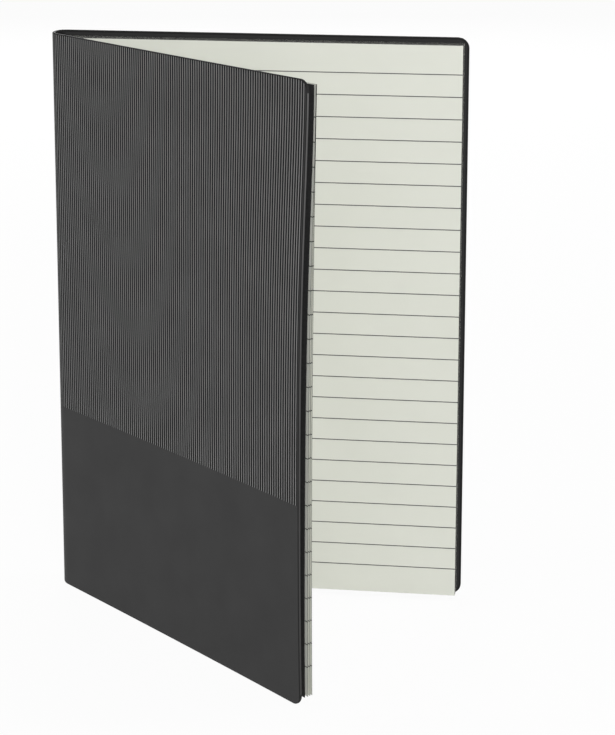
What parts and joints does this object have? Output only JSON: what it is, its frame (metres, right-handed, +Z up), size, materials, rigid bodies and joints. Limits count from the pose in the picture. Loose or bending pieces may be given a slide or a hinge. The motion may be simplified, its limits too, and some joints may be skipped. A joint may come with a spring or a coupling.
{
  "type": "notebook",
  "caption": "Ruled soft-cover notebook with a ribbed cover, standing open. Its front and back covers swing on the spine.",
  "frame": {"origin": "middle of the bounding box on the surface that the notebook stands on", "axes": "+Z up along the spine, +X from the spine to the fore-edge of the back cover, +Y from the first page to the back cover"},
  "size_m": [0.1512, 0.1154, 0.21],
  "materials": {
    "cover": "matte embossed leatherette, dark grey",
    "black_paper": "smooth black paper",
    "page_paper": "uncoated off-white writing paper",
    "line_ink": "flat grey printing ink",
    "spine_cloth": "thin woven binding cloth"
  },
  "bodies": {
    "pages": {"page_block": "page_paper", "spine": "cover", "spine_cloth": "spine_cloth", "rule_lines": "line_ink", "back_flyleaf": "black_paper"},
    "front": {"front_cover": "cover", "front_pastedown": "black_paper", "front_flyleaf": "black_paper", "turned_leaf_1": "page_paper", "turned_leaf_2": "page_paper"},
    "back": {"back_cover": "cover", "back_pastedown": "black_paper"}
  },
  "joints": [
    {"name": "front_cover_hinge", "type": "hinge", "parent": "pages", "child": "front", "pos_m": [-0.07435, 0.04688, 0], "axis": [0, 0, -1], "range_deg": [-42.5, 134]},
    {"name": "back_cover_hinge", "type": "hinge", "parent": "pages", "child": "back", "pos_m": [-0.07435, 0.05718, 0], "axis": [0, 0, 1], "range_deg": [0, 175]}
  ]
}
